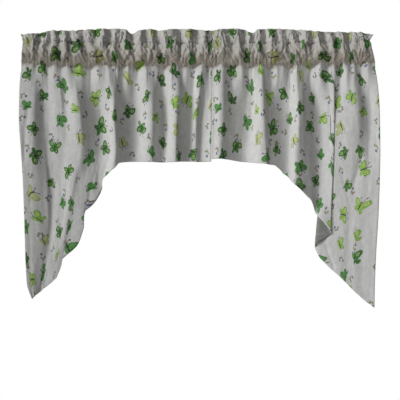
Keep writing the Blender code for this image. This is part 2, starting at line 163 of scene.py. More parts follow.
LEFT_FOLDS = (
    ("edge",      "R", 299.3, (21.3, 19.3, 19.0, 21.0, 22.8, 24.2, 25.4, 27.0, 32.0), (8, 9, 8, 6)),
    ("ridge_a",   "R", 297.2, (31.0, 33.0, 33.0, 32.0, 31.0, 31.0, 31.0, 31.5, 34.2), (8, 10, 6, 3)),
    ("valley_a",  "S", 294.2, (39.5, 42.6, 42.6, 43.6, 46.4, 47.6, 42.6, 39.2, 36.4), (-8, -10, -8, -6)),
    ("turn_a",    "S", 292.3, (43.5, 46.2, 46.2, 47.4, 49.8, 51.4, 46.4, 41.2, 38.4), (-6, -10, -16, -11)),
    ("ridge_b",   "R", 289.0, (52.0, 58.5, 60.0, 60.0, 60.0, 58.4, 51.4, 43.6, 41.5), (4, 0, -12, -10)),
    ("dip_b",     "S", 285.0, (59.5, 64.5, 65.5, 65.0, 65.0, 62.6, 55.0, 48.2), (-3, -1, -8, -9)),
    ("ridge_c",   "R", 278.0, (68.0, 75.5, 80.0, 81.5, 74.5, 69.0, 59.6, 55.5), (10, 18, 1, -8)),
    ("turn_c",    "S", 271.0, (73.0, 79.0, 83.4, 85.4, 77.4, 71.6, 62.0, 57.0), (2, 12, -0.6, -9)),
    ("valley_c",  "S", 259.0, (83.0, 86.0, 88.5, 90.0, 81.8, 74.6, 62.2), (-12, -4, -3, -10)),
    ("ridge_d",   "S", 245.6, (87.0, 90.0, 92.5, 94.0, 86.0, 80.4, 76.4), (-10, -15, -4, -9)),
    ("turn_d",    "S", 227.5, (90.0, 93.5, 96.0, 97.0, 90.0, 83.8, 84.0), (-8, -22, -6, -8)),
    ("valley_d",  "R", 210.5, (94.0, 97.0, 99.5, 99.8, 93.8, 84.2), (-4, -24, -9, -8)),
    ("ridge_e",   "S", 193.4, (98.0, 101.0, 103.5, 102.8, 97.6, 109.5), (4, -18, -11, -10)),
    ("turn_e",    "S", 187.3, (102.0, 104.5, 107.0, 106.0, 100.6, 120.0), (10, -9, -10, -8)),
    ("dip_e",     "S", 177.6, (105.5, 108.5, 110.5, 110.0, 102.6), (14, 3, -7, -6)),
    ("ridge_f",   "R", 168.6, (111.0, 113.2, 114.4, 116.0, 112.6), (16, 21, 18, 18)),
    ("turn_f",    "T", 163.6, (115.0, 116.6, 116.8, 118.4, 118.0), (4, 8, 6, 6)),
    ("valley_f",  "R", 161.8, (124.0, 133.0, 133.5, 132.0), (-14, -24, -22, -22)),
    ("ridge_g",   "R", 162.0, (148.0, 151.0, 152.0, 151.0), (14, 17, 9, 9)),
    ("valley_g",  "R", 162.4, (161.0, 162.5, 162.5, 161.5), (-12, -20, -12, -12)),
    ("ridge_h",   "R", 162.2, (175.0, 177.5, 176.0, 175.5), (14, 20, 21, 21)),
    ("turn_h",    "T", 161.8, (180.0, 181.5, 178.8, 178.0), (2, 8, 8, 8)),
    ("valley_h",  "R", 161.6, (192.5, 192.0, 190.0, 187.5), (-12, -20, -20, -20)),
    ("ridge_i",   "R", 161.8, (200.0, 199.0, 196.0, 195.5), (10, 4, -4, -6)),
    ("valley_i",  "R", 162.0, (206.0, 203.0, 199.5, 199.0), (-8, -12, -14, -14)),
    ("ridge_j",   "S", 161.8, (209.5, 208.5, 207.0, 206.5), (-4, -5, -6, -6)),
    ("inner",     "R", 161.7, (212.08, 212.08, 211.65, 211.2), (-4, 2, 3, 3)),
)
RIGHT_FOLDS = (
    ("inner",     "R", 159.2, (212.25, 212.25, 211.82, 211.4), (-4, 2, 3, 3)),
    ("ridge_a",   "R", 158.8, (219.0, 221.0, 221.5, 220.0), (12, 14, 14, 14)),
    ("valley_a",  "S", 159.4, (228.0, 230.0, 230.0, 227.0), (-2, -4, -4, -6)),
    ("rise_a",    "S", 160.6, (237.0, 239.5, 239.0, 234.0), (-6, -15, -17, -18)),
    ("valley_b",  "R", 161.8, (247.0, 249.5, 248.5, 241.5), (-12, -23, -25, -25)),
    ("ridge_b",   "R", 163.8, (260.5, 262.0, 263.5, 265.0), (14, 20, 21, 21)),
    ("turn_b",    "T", 164.5, (263.5, 265.0, 267.0, 268.5), (4, 6, 8, 8)),
    ("valley_c",  "S", 165.2, (272.0, 273.5, 275.0, 275.0), (-6, -12, -14, -16)),
    ("rise_c",    "S", 168.0, (279.0, 280.0, 281.0, 278.8), (-9, -20, -24, -24)),
    ("valley_d",  "R", 173.9, (288.0, 287.0, 286.5, 284.5, 283.5), (-10, -22, -26, -16)),
    ("ridge_d",   "R", 185.5, (298.5, 299.0, 299.5, 297.0, 296.0), (14, 20, 19, 14)),
    ("slope_d",   "S", 199.8, (304.5, 306.0, 307.5, 308.0, 309.5, 312.2), (1, 2, 2, 2)),
    ("valley_e",  "R", 214.5, (311.0, 314.0, 318.0, 319.5, 318.8, 316.6), (-12, -18, -17.5, 12)),
    ("slope_e",   "S", 219.5, (315.0, 319.5, 324.5, 325.5, 324.3, 321.0), (-4, -9, -8.8, 13)),
    ("ridge_e",   "S", 226.5, (319.5, 326.0, 330.2, 330.2, 329.4, 327.2, 326.5), (6, 1, -1.8, 7)),
    ("turn_e",    "T", 233.3, (328.5, 334.6, 334.6, 334.0, 332.8, 331.3, 331.0), (8, 4.4, -0.9, 1.8)),
    ("layer_e",   "B", 239.5, (331.5, 332.0, 332.6, 332.2, 331.6, 325.5, 324.0), (-1, 1.6, -5.2, -5)),
    ("turn_f",    "T", 246.5, (334.0, 329.5, 330.0, 330.4, 329.6, 317.8, 314.5), (-5, -2, -9, -13)),
    ("facet_f",   "R", 257.6, (337.0, 332.2, 331.8, 331.4, 330.6, 323.5, 319.6), (-8, 0.6, -7.2, -8)),
    ("valley_f",  "S", 270.0, (341.0, 338.0, 336.2, 335.6, 334.6, 333.0, 331.0, 333.6), (-7, 4.4, -1.6, -2.4)),
    ("ridge_g",   "R", 283.0, (351.0, 355.5, 356.0, 355.0, 352.0, 349.0, 347.0, 346.0), (11, 18, 5, 3)),
    ("valley_g",  "R", 293.8, (360.5, 367.5, 369.5, 367.5, 364.0, 360.0, 357.0, 356.8), (-11, 2, 10, 7)),
    ("ridge_h",   "S", 303.8, (370.0, 374.5, 375.5, 375.5, 374.5, 373.0, 370.5, 369.5), (8, 8, 16, 12)),
    ("edge",      "R", 307.6, (375.0, 378.2, 379.6, 379.8, 379.2, 378.0, 375.6, 374.4, 374.0), (10, 13, 18, 15)),
)

# ------------------------------------------- smaller creases
# from, to : the fold lines between which the crease lies on the cloth
# points   : drawing x and y along it;  wide : half width in units
# deep     : millimetres, + a soft ridge, - a soft trough
LEFT_CREASES = (
    ("valley_c", "ridge_d", ((83.0, 120), (77.0, 180), (70.5, 210), (66.5, 230)), 2.2, -3.0),
    ("edge", "valley_a", ((30.0, 96), (25.0, 130), (24.0, 170)), 2.4, -2.5),
    ("ridge_b", "ridge_c", ((57.0, 70), (63.5, 110), (63.0, 150)), 2.6, 2.2),
    ("ridge_f", "ridge_g", ((134.0, 70), (133.0, 100), (136.0, 128)), 2.8, -2.6),
    ("valley_f", "ridge_g", ((131.0, 100), (128.0, 130), (131.0, 160)), 2.2, 2.4),
    ("ridge_g", "valley_g", ((147.0, 70), (151.0, 96), (149.0, 125)), 2.4, -2.2),
    ("valley_g", "ridge_h", ((164.0, 78), (166.0, 110), (163.0, 150)), 2.4, 2.0),
    ("turn_h", "valley_h", ((181.0, 72), (179.5, 100), (179.0, 135)), 2.0, 2.0),
)
RIGHT_CREASES = (
    ("valley_f", "ridge_g", ((338.0, 160), (346.0, 189), (349.0, 200), (357.0, 224.6)), 1.9, -2.6),
    ("ridge_g", "valley_g", ((363.0, 150), (357.0, 175), (345.0, 195), (334.0, 215)), 3.2, -3.6),
    ("facet_f", "ridge_g", ((324.5, 240.7), (330.0, 257.0), (335.7, 272.9)), 1.3, -3.0),
    ("valley_g", "edge", ((368.0, 90), (366.0, 130), (368.5, 170)), 2.4, -2.2),
    ("slope_e", "turn_e", ((331.0, 78), (329.0, 120), (330.5, 165)), 1.8, -2.0),
    ("rise_a", "ridge_b", ((252.0, 72), (250.0, 104), (247.0, 140)), 2.2, 2.4),
    ("rise_c", "ridge_d", ((289.0, 80), (287.0, 115), (285.5, 150)), 2.2, 2.2),
    ("ridge_d", "valley_e", ((299.0, 74), (300.0, 110), (301.5, 160)), 2.2, -2.2),
)

# Creases of the gathered headings, on their front only: points, half width,
# millimetres.  They run slantwise between the two stitched lines.
LEFT_TUCKS = (
    (((34.0, 47.0), (40.5, 56.0)), 1.0, -4.0),
    (((40.5, 48.0), (46.0, 42.5)), 1.0, 3.0),
    (((48.6, 50.5), (59.0, 66.0)), 0.9, -3.5),
    (((52.0, 48.0), (62.0, 63.0)), 0.9, 3.0),
    (((67.0, 40.0), (70.3, 50.5)), 1.1, -4.5),
    (((72.0, 56.0), (80.7, 59.4), (90.0, 65.0)), 1.5, -4.5),
    (((76.0, 47.0), (84.0, 52.0), (88.0, 60.0)), 1.2, 3.2),
    (((96.0, 45.0), (103.0, 52.0), (104.5, 61.0)), 1.1, -3.6),
    (((110.0, 46.0), (106.0, 55.0), (109.0, 63.0)), 1.1, 3.0),
    (((118.0, 45.0), (126.0, 52.0), (130.0, 62.0)), 1.1, -3.6),
    (((138.0, 46.0), (133.5, 54.0), (136.0, 63.0)), 1.1, -3.6),
    (((146.0, 45.0), (151.0, 53.0), (149.0, 62.0)), 1.2, 3.0),
    (((157.0, 45.0), (162.0, 51.0), (161.0, 60.0)), 1.0, -3.6),
    (((174.8, 38.9), (178.9, 52.2)), 1.0, 4.0),
    (((180.5, 40.0), (180.5, 62.0)), 1.1, -5.0),
    (((186.0, 46.0), (191.0, 53.0), (189.5, 62.0)), 1.1, 3.0),
    (((197.5, 44.0), (196.0, 60.0)), 0.9, -4.0),
    (((203.0, 44.0), (204.5, 60.0)), 0.9, -3.6),
    (((209.0, 45.0), (207.0, 58.0)), 0.9, 3.2),
)
RIGHT_TUCKS = (
    (((214.5, 46.0), (217.0, 60.0)), 0.9, -3.4),
    (((222.0, 45.0), (226.0, 52.0), (224.0, 62.0)), 1.1, -3.8),
    (((232.0, 46.0), (238.0, 51.0), (241.0, 60.0)), 1.2, 3.4),
    (((240.0, 46.0), (246.5, 54.0), (246.0, 64.0)), 1.1, -4.2),
    (((252.0, 44.0), (257.0, 50.0), (255.0, 61.0)), 1.0, 3.0),
    (((259.0, 45.0), (263.5, 53.0), (268.0, 60.0)), 1.0, -4.2),
    (((270.0, 46.0), (276.0, 53.0), (275.0, 61.0)), 1.0, 3.2),
    (((284.0, 45.0), (282.5, 53.0), (287.5, 62.0)), 1.1, -4.2),
    (((292.0, 47.0), (298.0, 52.0), (302.0, 60.0)), 1.2, -3.4),
    (((305.0, 44.0), (308.0, 54.0), (306.5, 64.0)), 1.0, -4.4),
    (((313.0, 45.0), (319.0, 51.0), (321.0, 60.0)), 1.1, 3.4),
    (((322.0, 46.0), (327.0, 54.0), (330.0, 64.0)), 1.0, -4.2),
    (((336.0, 44.0), (337.0, 53.0), (334.0, 62.0)), 1.0, -4.0),
    (((341.0, 46.0), (345.0, 52.0), (344.0, 60.0)), 1.1, 3.2),
    (((347.0, 44.0), (351.0, 54.0), (355.0, 62.0)), 1.0, -4.0),
    (((361.0, 46.0), (358.0, 54.0), (360.5, 62.0)), 1.0, 3.0),
    (((365.0, 46.0), (370.0, 54.0), (369.0, 61.0)), 1.0, -3.2),
)

# Slanted creases of the ruffles, running over the upper stitched line: drawing x
# at the top (y 32) and at the bottom (y 47), half width, millimetres.
LEFT_CURLS = (
    (27.0, 30.0, 0.8, -3.0), (36.5, 33.0, 0.8, 2.6), (47.0, 43.5, 0.8, -3.2), (55.0, 58.5, 0.9, 2.8),
    (65.0, 60.5, 0.8, -3.4), (72.5, 76.5, 0.9, 2.6), (84.0, 79.5, 0.8, -3.0), (91.0, 94.5, 0.9, -2.8),
    (103.5, 99.0, 0.9, 2.8), (111.0, 115.5, 0.8, -3.0), (122.5, 118.5, 0.9, 3.0), (130.0, 134.5, 0.8, -3.2),
    (141.0, 137.0, 0.9, 2.8), (148.0, 152.0, 0.8, -3.2), (160.0, 156.0, 0.8, 2.8), (167.0, 171.5, 0.9, -3.0),
    (178.0, 174.0, 0.8, 2.8), (187.0, 190.5, 0.8, -3.2), (199.0, 195.5, 0.8, 2.6), (206.5, 209.0, 0.8, -2.6),
)
RIGHT_CURLS = (
    (217.0, 214.5, 0.8, 2.6), (222.0, 226.0, 0.8, -3.2), (234.5, 230.5, 0.9, 2.8), (239.0, 242.5, 0.8, -3.0),
    (251.0, 247.0, 0.8, 2.8), (258.0, 261.5, 0.9, -3.2), (269.0, 265.0, 0.8, 2.6), (277.0, 281.0, 0.8, -3.0),
    (289.0, 285.5, 0.9, 2.8), (297.0, 301.0, 0.8, -3.2), (309.5, 305.0, 0.8, 2.8), (318.0, 322.0, 0.9, -3.0),
    (331.0, 327.0, 0.8, 2.6), (340.0, 344.0, 0.8, -3.2), (352.0, 348.0, 0.9, 2.8), (363.0, 366.5, 0.8, -2.8),
)

PANELS = (
    {"name": "left", "side": -1, "rows": LEFT_FOLDS, "x_at": LEFT_X_AT, "depth": 1.0,
     "pleats": LEFT_PLEATS, "pinch": (1.7, -0.6), "creases": LEFT_CREASES,
     "tucks": LEFT_TUCKS, "curls": LEFT_CURLS, "seed": 3.0},
    {"name": "right", "side": 1, "rows": RIGHT_FOLDS, "x_at": RIGHT_X_AT, "depth": 1.12,
     "pleats": RIGHT_PLEATS, "pinch": (5.6, 1.6), "creases": RIGHT_CREASES,
     "tucks": RIGHT_TUCKS, "curls": RIGHT_CURLS, "seed": 41.0},
)
WAYS = {"R": (1.0, 0.0), "B": (-1.0, 0.0), "T": (0.0, -1.0), "F": (0.0, 1.0)}


# ------------------------------------------------------------------- helpers
def wx(x):
    return (x - MID_X) * UNIT


def wz(y):
    return (TOP_Y - y) * UNIT


def smooth(t):
    t = np.clip(t, 0.0, 1.0)
    return t * t * (3.0 - 2.0 * t)


def along(stations, values, s):
    """Monotone cubic through (station, value) pairs, held past both ends."""
    n = min(len(stations), len(values))
    if s <= stations[0]:
        return float(values[0])
    if s >= stations[n - 1]:
        return float(values[n - 1])
    gaps = [stations[i + 1] - stations[i] for i in range(n - 1)]
    rises = [(values[i + 1] - values[i]) / gaps[i] for i in range(n - 1)]
    slopes = [rises[0]]
    for i in range(1, n - 1):
        a, b = rises[i - 1], rises[i]
        slopes.append(0.0 if a * b <= 0.0 else 2.0 * a * b / (a + b))
    slopes.append(rises[-1])
    i = 0
    while s > stations[i + 1]:
        i += 1
    h, t = gaps[i], (s - stations[i]) / gaps[i]
    return (values[i] * (1 + 2 * t) * (1 - t) ** 2 + slopes[i] * h * t * (1 - t) ** 2
            + values[i + 1] * t * t * (3 - 2 * t) + slopes[i + 1] * h * t * t * (t - 1))


def outline(pairs, x):
    return along([p[0] for p in pairs], [p[1] for p in pairs], x)


def ripple(x, y, scale_x, scale_y, seed, octaves=3):
    """Soft noise, -1 to 1, over drawing x and y, for arrays of the same shape."""
    out = np.empty(np.shape(x))
    flat = out.ravel()
    for i, (a, b) in enumerate(zip(np.ravel(x), np.ravel(y))):
        flat[i] = noise.fractal(Vector((a / scale_x, b / scale_y, seed)), 1.0, 2.0, octaves)
    return flat.reshape(np.shape(x))


class Folds:
    """The fold table of one panel, sampled on even heights."""

    def __init__(self, panel):
        self.rows = panel["rows"]
        self.y = np.arange(60.0, 311.0, 1.0)
        self.x, self.o = [], []
        for row in self.rows:
            self.x.append(np.array([along(panel["x_at"], row[3], s) for s in self.y]))
            self.o.append(np.array([panel["depth"] * along(OUT_AT, row[4], s) / 1000.0 / UNIT
                                    for s in self.y]))
        self.way = []
        for i, row in enumerate(self.rows):
            if row[1] == "S":
                dx = self.x[i + 1] - self.x[i - 1]
                do = self.o[i + 1] - self.o[i - 1]
                size = np.hypot(dx, do)
                self.way.append((dx / size, do / size))
            else:
                one = np.ones(len(self.y))
                self.way.append((one * WAYS[row[1]][0], one * WAYS[row[1]][1]))

    def point(self, seg, t, y):
        pick = lambda a: np.interp(y, self.y, a)
        ax, ao, bx, bo = pick(self.x[seg]), pick(self.o[seg]), pick(self.x[seg + 1]), pick(self.o[seg + 1])
        chord = 1.06 * np.hypot(bx - ax, bo - ao)
        awx, awo = pick(self.way[seg][0]), pick(self.way[seg][1])
        bwx, bwo = pick(self.way[seg + 1][0]), pick(self.way[seg + 1][1])
        h00, h10 = (1 + 2 * t) * (1 - t) ** 2, t * (1 - t) ** 2
        h01, h11 = t * t * (3 - 2 * t), t * t * (t - 1)
        return (h00 * ax + h10 * chord * awx + h01 * bx + h11 * chord * bwx,
                h00 * ao + h10 * chord * awo + h01 * bo + h11 * chord * bwo)


class Pleats:
    """Height field of the gathered heading, -1 in valleys to +1 on ridges."""

    def __init__(self, panel):
        self.x = np.arange(16.0, 384.0, 0.25)
        self.y = np.arange(26.0, 116.0, 0.5)
        self.w = np.zeros((len(self.y), len(self.x)))
        for j, y in enumerate(self.y):
            seen = [along(PLEAT_Y, row[0], y) for row in panel["pleats"]]
            xs = seen[:1] + [a + CREST_SHIFT * (b - a) for a, b in zip(seen[1:], seen[2:])] + seen[-1:]
            ls = [along(LEVEL_Y, row[1], y) for row in panel["pleats"]]
            for (xa, la), (xb, lb) in zip(zip(xs, ls), zip(xs[1:], ls[1:])):
                if xb - xa < 0.05:
                    continue
                inside = (self.x >= xa) & (self.x <= xb)
                t = (self.x[inside] - xa) / (xb - xa)
                # narrow valleys and broad ridges
                up = t if lb > la else 1.0 - t
                shape = 0.40 * smooth(up) + 0.38 * up + 0.22 * np.sin(0.5 * np.pi * np.clip(up, 0, 1))
                shape = shape if lb > la else 1.0 - shape
                if lb > la:
                    w = la + (lb - la) * shape
                else:
                    w = la + (lb - la) * shape
                size = min(1.12, max(0.6, math.sqrt((xb - xa) / 8.0)))
                self.w[j, inside] = w * size
            self.w[j, self.x < xs[0]] = ls[0]
            self.w[j, self.x > xs[-1]] = ls[-1]
        k = np.array([1.0, 3.0, 4.0, 3.0, 1.0])
        k /= k.sum()
        self.w = np.apply_along_axis(lambda r: np.convolve(np.pad(r, 2, "edge"), k, "valid"), 1, self.w)

    def at(self, x, y):
        fx = np.clip((np.asarray(x, float) - self.x[0]) / 0.25, 0, len(self.x) - 1.001)
        fy = np.clip((np.asarray(y, float) - self.y[0]) / 0.5, 0, len(self.y) - 1.001)
        ix, iy = fx.astype(int), fy.astype(int)
        tx, ty = fx - ix, fy - iy
        w = self.w
        return ((w[iy, ix] * (1 - tx) + w[iy, ix + 1] * tx) * (1 - ty)
                + (w[iy + 1, ix] * (1 - tx) + w[iy + 1, ix + 1] * tx) * ty)


def choose_columns(panel, folds):
    """Columns of the grid as (segment, fraction, u), u in metres across the cut."""
    n_seg = len(folds.rows) - 1
    steps = 60
    segs, ts, xs, os_, seam = [], [], [], [], []
    for seg in range(n_seg):
        for k in range(steps + (seg == n_seg - 1)):
            t = k / steps
            x, o = folds.point(seg, t, 132.0)
            segs.append(seg)
            ts.append(t)
            xs.append(float(x))
            os_.append(float(o))
            a, b = folds.rows[seg][3][0], folds.rows[seg + 1][3][0]
            seam.append(a + (b - a) * t)
    length = np.concatenate(([0.0], np.cumsum(np.hypot(np.diff(xs), np.diff(os_)))))
    u = length / length[-1] * CUT_WIDTH
    seam = np.array(seam)
    spread = 0.5 * u / u[-1] + 0.5 * (seam - seam[0]) / (seam[-1] - seam[0])
    edge = [0.0, 0.0035, 0.0085, 0.0108, 0.0120, 0.0145]
    edge_spread = list(np.interp(edge, u, spread)) + list(np.interp([CUT_WIDTH - e for e in edge], u, spread))
    lo, hi = np.interp(0.0175, u, spread), np.interp(CUT_WIDTH - 0.0175, u, spread)
    wanted = np.sort(np.array(edge_spread + list(np.linspace(lo, hi, COLUMNS - 2 * len(edge)))))
    flat_index = np.interp(wanted, spread, np.arange(len(spread)))
    cols = []
    for f in flat_index:
        i = min(int(f), len(segs) - 2)
        part = f - i
        pos = segs[i] + ts[i] + part / steps
        seg = min(int(pos + 1e-9), n_seg - 1)
        cols.append((seg, min(1.0, max(0.0, pos - seg)), float(np.interp(f, np.arange(len(u)), u))))
    return cols


def hem_of(rows, seg, t):
    return along(list(range(len(rows))), [row[2] for row in rows], seg + t)


def to_line(px, py, points):
    """Distance from points to a polyline, and how far along it (0 to 1)."""
    pts = np.array(points, float)
    seg_len = np.hypot(*(pts[1:] - pts[:-1]).T)
    total, before = seg_len.sum(), 0.0
    best = np.full(px.shape, 1e9)
    where = np.zeros(px.shape)
    for (ax, ay), (bx, by), ln in zip(pts, pts[1:], seg_len):
        t = np.clip(((px - ax) * (bx - ax) + (py - ay) * (by - ay)) / ln ** 2, 0, 1)
        d = np.hypot(px - ax - t * (bx - ax), py - ay - t * (by - ay))
        near = d < best
        best = np.where(near, d, best)
        where = np.where(near, (before + t * ln) / total, where)
        before += ln
    return best, where


# -------------------------------------------------------------- cloth meshes
def build_cloth(panel):
    folds, pleats = Folds(panel), Pleats(panel)
    rows, side, seed = panel["rows"], panel["side"], panel["seed"]
    cols = choose_columns(panel, folds)
    n_col = len(cols)
    us = np.array([c[2] for c in cols])
    pos = np.array([c[0] + c[1] for c in cols])
    seam_x = np.array([rows[s][3][0] + (rows[s + 1][3][0] - rows[s][3][0]) * t for s, t, _ in cols])
    y_low = np.array([outline(STITCH_LOW, x) for x in seam_x])
    y_up = np.array([outline(STITCH_TOP, x) for x in seam_x])
    y_low = y_low - 2.4 * pleats.at(seam_x, y_low) + 0.9 * ripple(seam_x, seam_x * 0, 3.0, 1.0, seed + 2, 2)
    y_up = (y_up - 1.3 * pleats.at(seam_x, y_up) + 2.2 * ripple(seam_x, seam_x * 0, 8.0, 1.0, seed + 4, 1)
            + 0.9 * ripple(seam_x, seam_x * 0, 2.6, 1.0, seed + 3, 2))
    y_top = np.array([outline(RUFFLE_TOP, x) for x in seam_x])
    y_top = (y_top - 0.35 + 0.9 * ripple(seam_x, seam_x * 0, 4.6, 1.0, seed, 2)
             - 0.5 * np.abs(ripple(seam_x, seam_x * 0, 3.4, 1.0, seed + 1, 1)) + 0.25)
    y_top = np.maximum(y_top, TOP_Y + 0.05)
    y_hem = np.array([hem_of(rows, s, t) for s, t, _ in cols])
    # perpendicular hem distance as height: the hem runs on the slant
    slope = np.gradient(y_hem * UNIT, us)
    slant = np.sqrt(1.0 + np.convolve(np.pad(slope, 3, "edge"), np.ones(7) / 7, "valid") ** 2)

    X, Y, OUT, V, BACK = [], [], [], [], []      # one list of rows of n_col values

    def put(x, y, out, v, back):
        X.append(x)
        Y.append(y)
        OUT.append(out)
        V.append(np.full(n_col, v) if np.isscalar(v) else v)
        BACK.append(back)

    edge_x = seam_x[0] if side < 0 else seam_x[-1]
    near = np.maximum(0.0, 1.0 - np.abs(seam_x - edge_x) / 14.0)
    at_stitch, at_top = panel["pinch"]

    def pinched(y):
        up = at_stitch + (at_top - at_stitch) * np.clip((y_up - y) / (y_up - y_top), 0, 1)
        down = at_stitch * np.clip((y - y_low) / (y_up - y_low), 0, 1)
        return seam_x - side * near * np.where(y < y_up, up, down)

    pocket_flat, ruffle_flat = 0.079, 0.043
    pucker_low = ripple(seam_x, seam_x * 0.0, 2.3, 1.0, seed + 5, 2)
    pucker_up = ripple(seam_x, seam_x * 0.0, 2.0, 1.0, seed + 9, 2)
    lean = ripple(seam_x, seam_x * 0.0, 13.0, 1.0, seed + 13, 2)
    curl = ripple(seam_x, seam_x * 0.0, 7.0, 1.0, seed + 17, 2)
    gape = 0.5 + 0.5 * ripple(seam_x, seam_x * 0.0, 9.0, 1.0, seed + 21, 2)

    def stitch_low(y):
        return SEAM_GATHER * pleats.at(seam_x, y) + 0.0013 * pucker_low

    def stitch_up(y):
        w = pleats.at(seam_x, y)
        return 0.0030 + 0.0090 * w + 0.0020 * pucker_up

    def front_pocket(q):
        y = y_low + (y_up - y_low) * q
        bulge = np.sin(np.pi * q) ** 0.62
        # the upper half is puffed out, the lower half slopes in to its stitches
        puffed = 0.30 + 0.70 * smooth((q - 0.12) / 0.50)
        w = pleats.at(seam_x, y)
        full = POCKET_HALF + POCKET_GATHER * (0.5 + 0.46 * w) * puffed
        flat = stitch_low(y) * (1 - q) + stitch_up(y) * q
        slant_x = seam_x + (y - 52.0) * 0.55 * np.sin(seam_x * 0.21)
        soft = ripple(slant_x, y, 4.6, 9.0, seed + 30, 2)
        crumple = ripple(slant_x, y + seam_x * 0.4, 3.0, 6.0, seed + 34, 1)
        cross = ripple(seam_x - (y - 52.0) * 0.8, y - seam_x * 0.3, 2.6, 6.5, seed + 38, 1)
        fine = (np.exp(-q * 3.2) * pucker_low + np.exp(-(1 - q) * 3.2) * pucker_up)
        out = (bulge * full + (1 - bulge) * flat + 0.0048 * soft * (0.35 + 0.65 * bulge)
               + (0.0042 * np.abs(crumple) - 0.0042 * np.abs(cross)) * bulge
               + 0.0034 * fine * (0.25 + 0.75 * bulge))
        rod = smooth((q - 0.30) / 0.10) * smooth((0.84 - q) / 0.10)
        out = np.where(out < 0.0142, out + rod * (0.0142 - out), out)
        return y, out

    def back_pocket(q):
        y = y_low + (y_up - y_low) * q
        bulge = np.sin(np.pi * q) ** 0.6
        w = pleats.at(np.clip(seam_x + 5.0, seam_x[0], seam_x[-1]), y)
        full = -POCKET_HALF - 0.7 * POCKET_GATHER * (0.5 - 0.43 * w)
        flat = stitch_low(y) * (1 - q) + stitch_up(y) * q - 0.0016
        soft = ripple(seam_x, y, 5.0, 12.0, seed + 50, 2)
        return y, bulge * full + (1 - bulge) * flat + 0.0015 * soft * bulge

    def ruffle(q, front):
        y = y_up + (y_top - y_up) * q
        w = pleats.at(seam_x, y) if front else pleats.at(seam_x + 1.2, y - 2.0)
        mid = (stitch_up(y) * (1 - q) + RUFFLE_GATHER * w * (0.35 + 0.65 * q)
               + 0.0060 * lean * q ** 1.5)
        puff = 0.0008 + (0.0016 + 0.0030 * gape) * np.sin(np.pi * min(1.0, q ** 0.8)) + 0.0010 * q
        slant_x = seam_x + (y - y_up) * 0.6 * np.sin(seam_x * 0.33)
        soft = (3.6 * ripple(slant_x, y, 3.0, 5.0, seed + (70 if front else 90), 2)
                - 3.6 * np.abs(ripple(seam_x - (y - y_up) * 0.7, y, 2.4, 4.0, seed + 75, 1)))
        sign = 1.0 if front else -1.0
        return y, mid + sign * puff + 0.0012 * soft * np.sin(np.pi * min(1.0, 0.15 + q * 0.8))

    # ---- raw edge behind the lower stitched line, up the back of the pocket
    n = ROWS["tail"]
    v0 = 2 * (pocket_flat + ruffle_flat) + 0.004
    for k in range(n):
        y = y_low + 1.6 * (1 - k / n)
        put(seam_x, y, stitch_low(y) - 0.0023, v0 + 0.006 * (1 - k / n), True)
    n = ROWS["pocket_back"]
    for k in range(n):
        y, out = back_pocket(k / n)
        put(pinched(y), y, out, v0 - pocket_flat * k / n, True)
    n = ROWS["ruffle_back"]
    for k in range(n):
        q = k / n
        y, out = ruffle(q, False)
        put(pinched(y), y, out, v0 - pocket_flat - ruffle_flat * q, True)
    # ---- over the top
    n = ROWS["top"]
    yb, ob = ruffle(1.0, False)
    yf, of = ruffle(1.0, True)
    for k in range(n):
        a = np.pi * k / (n - 1)
        mid, half = 0.5 * (ob + of), 0.5 * (of - ob)
        rise = half / UNIT
        y = yf + rise * (1.0 - np.sin(a)) - 0.0
        put(pinched(y), np.maximum(y, TOP_Y), mid - half * np.cos(a), v0 - pocket_flat - ruffle_flat - 0.002 * k / n, True)
    # ---- down the front of the ruffle and of the pocket
    n = ROWS["ruffle"]
    for k in range(1, n + 1):
        q = 1.0 - k / n
        y, out = ruffle(q, True)
        y = y + q * np.maximum(0.0, (0.5 * (of - ob)) / UNIT)
        put(pinched(y), y, out, pocket_flat + ruffle_flat * q, False)
    n = ROWS["pocket"]
    for k in range(1, n + 1):
        q = 1.0 - k / n
        y, out = front_pocket(q)
        put(pinched(y), y, out, pocket_flat * q, False)
    # ---- the drop
    hem_y = [y_hem - h * slant / UNIT for h in HEM_STEPS]
    n = ROWS["drop"]
    first_drop = len(X)
    levels = []
    for k in range(1, n + 1):
        levels.append(y_low + (hem_y[0] - 0.8 - y_low) * (k / n) ** 1.18)
    levels += hem_y
    for y in levels:
        x = np.empty(n_col)
        o = np.empty(n_col)
        for i, (seg, t, _) in enumerate(cols):
            a, b = folds.point(seg, t, y[i])
            x[i], o[i] = a, b
        fold = smooth((y - GATHER_FADE[0]) / (GATHER_FADE[1] - GATHER_FADE[0]))
        x = seam_x + (x - seam_x) * smooth((y - y_low) / 12.0)
        wave = pleats.at(x, y)
        near_seam = np.exp(-(y - y_low) / 5.0)
        o = o * UNIT * fold + SEAM_GATHER * wave * (1 - fold) + 0.0011 * pucker_low * near_seam
        # short puckers that die away under the stitched line
        short = ripple(x + (y - y_low) * 0.12, y * 0.0, 3.1, 1.0, seed + 33, 2)
        o = o + 0.0022 * short * np.exp(-(y - y_low) / 11.0) * smooth((y - y_low) / 3.0)
        # soft unevenness of the hanging cloth
        o = o + 0.0016 * ripple(x, y, 9.0, 34.0, seed + 37, 3) * smooth((y - y_low) / 14.0)
        put(x, y, o, -(y - y_low) * UNIT, False)
    X, Y, OUT, V = (np.array(a) for a in (X, Y, OUT, V))

    names = [row[0] for row in rows]
    on_drop = np.arange(len(X))[:, None] >= first_drop
    for start, end, points, wide, deep in panel["creases"]:
        a, b = names.index(start), names.index(end)
        d, s = to_line(X, Y, points)
        fade = np.clip(np.minimum(s, 1 - s) * 4.0, 0, 1)
        inside = smooth((pos - a) * 2 + 0.3) * smooth((b - pos) * 2 + 0.3)
        OUT = OUT + on_drop * inside * 0.001 * deep * np.exp(-(d / wide) ** 2) * smooth(fade)

